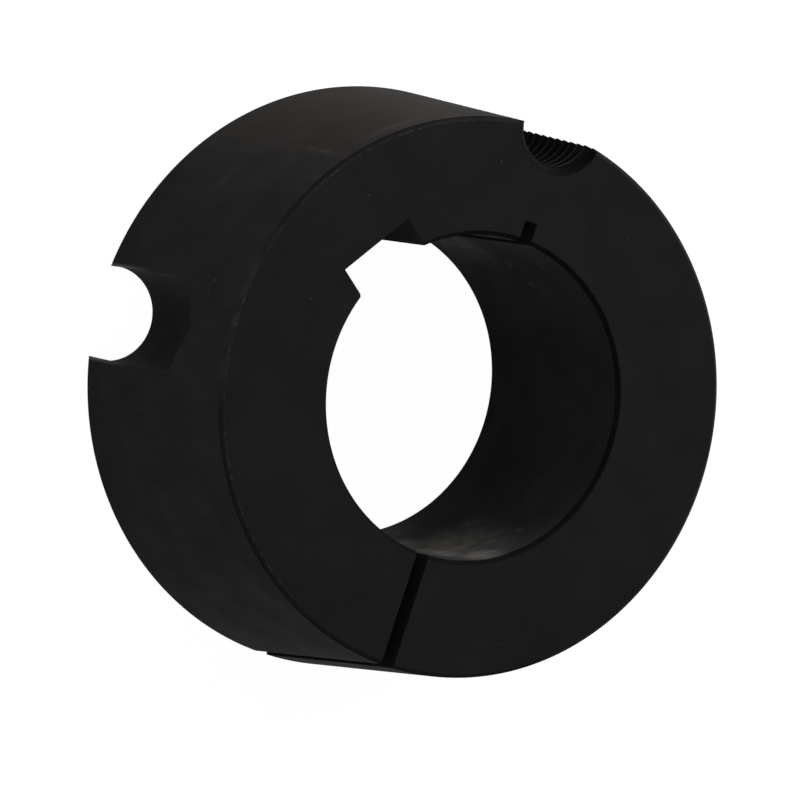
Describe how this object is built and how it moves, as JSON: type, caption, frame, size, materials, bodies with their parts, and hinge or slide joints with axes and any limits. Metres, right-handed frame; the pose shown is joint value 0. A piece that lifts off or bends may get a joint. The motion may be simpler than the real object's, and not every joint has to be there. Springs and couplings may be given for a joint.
{
  "type": "taper bush",
  "caption": "Split tapered bush that clamps a pulley hub to a keyed shaft, with half-round screw pockets on its outer edge.",
  "frame": {"origin": "middle of the large end face, on the bore's axis", "axes": "+Z along the bore from the large end to the small end, +Y through the tapped jacking half hole, the saw cut on -Y"},
  "size_m": [0.0696, 0.0695, 0.0318],
  "materials": {
    "phosphated_iron": "matt black phosphate on fine-turned grey iron, lightly oiled"
  },
  "bodies": {
    "root": {"taper_bush": "phosphated_iron"}
  },
  "joints": []
}
